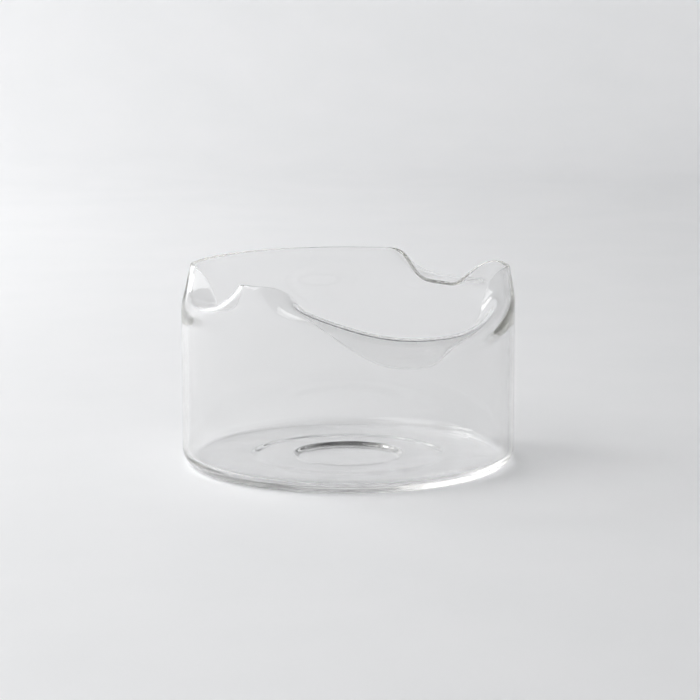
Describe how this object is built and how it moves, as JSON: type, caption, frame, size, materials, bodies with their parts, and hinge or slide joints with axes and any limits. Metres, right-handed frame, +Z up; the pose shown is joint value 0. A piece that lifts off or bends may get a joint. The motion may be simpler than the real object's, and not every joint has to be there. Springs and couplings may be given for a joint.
{
  "type": "crystallizing dish",
  "caption": "Open cylindrical glass dish with a flat base, rounded heel and upright wall, for crystallizing solutions; its rim is folded inward and down in broad lips.",
  "frame": {"origin": "centre of the resting ring, on the plane the dish stands on", "axes": "+Z up through the open mouth; -Y towards the largest folded lip's side, +X to the right of it"},
  "size_m": [0.14, 0.14, 0.0827],
  "materials": {
    "borosilicate_glass": "clear, fire-polished"
  },
  "bodies": {
    "root": {"base_disc": "borosilicate_glass", "heel_ring": "borosilicate_glass", "side_wall": "borosilicate_glass", "front_lip": "borosilicate_glass", "left_lip": "borosilicate_glass", "rear_lip": "borosilicate_glass", "back_rim": "borosilicate_glass"}
  },
  "joints": []
}
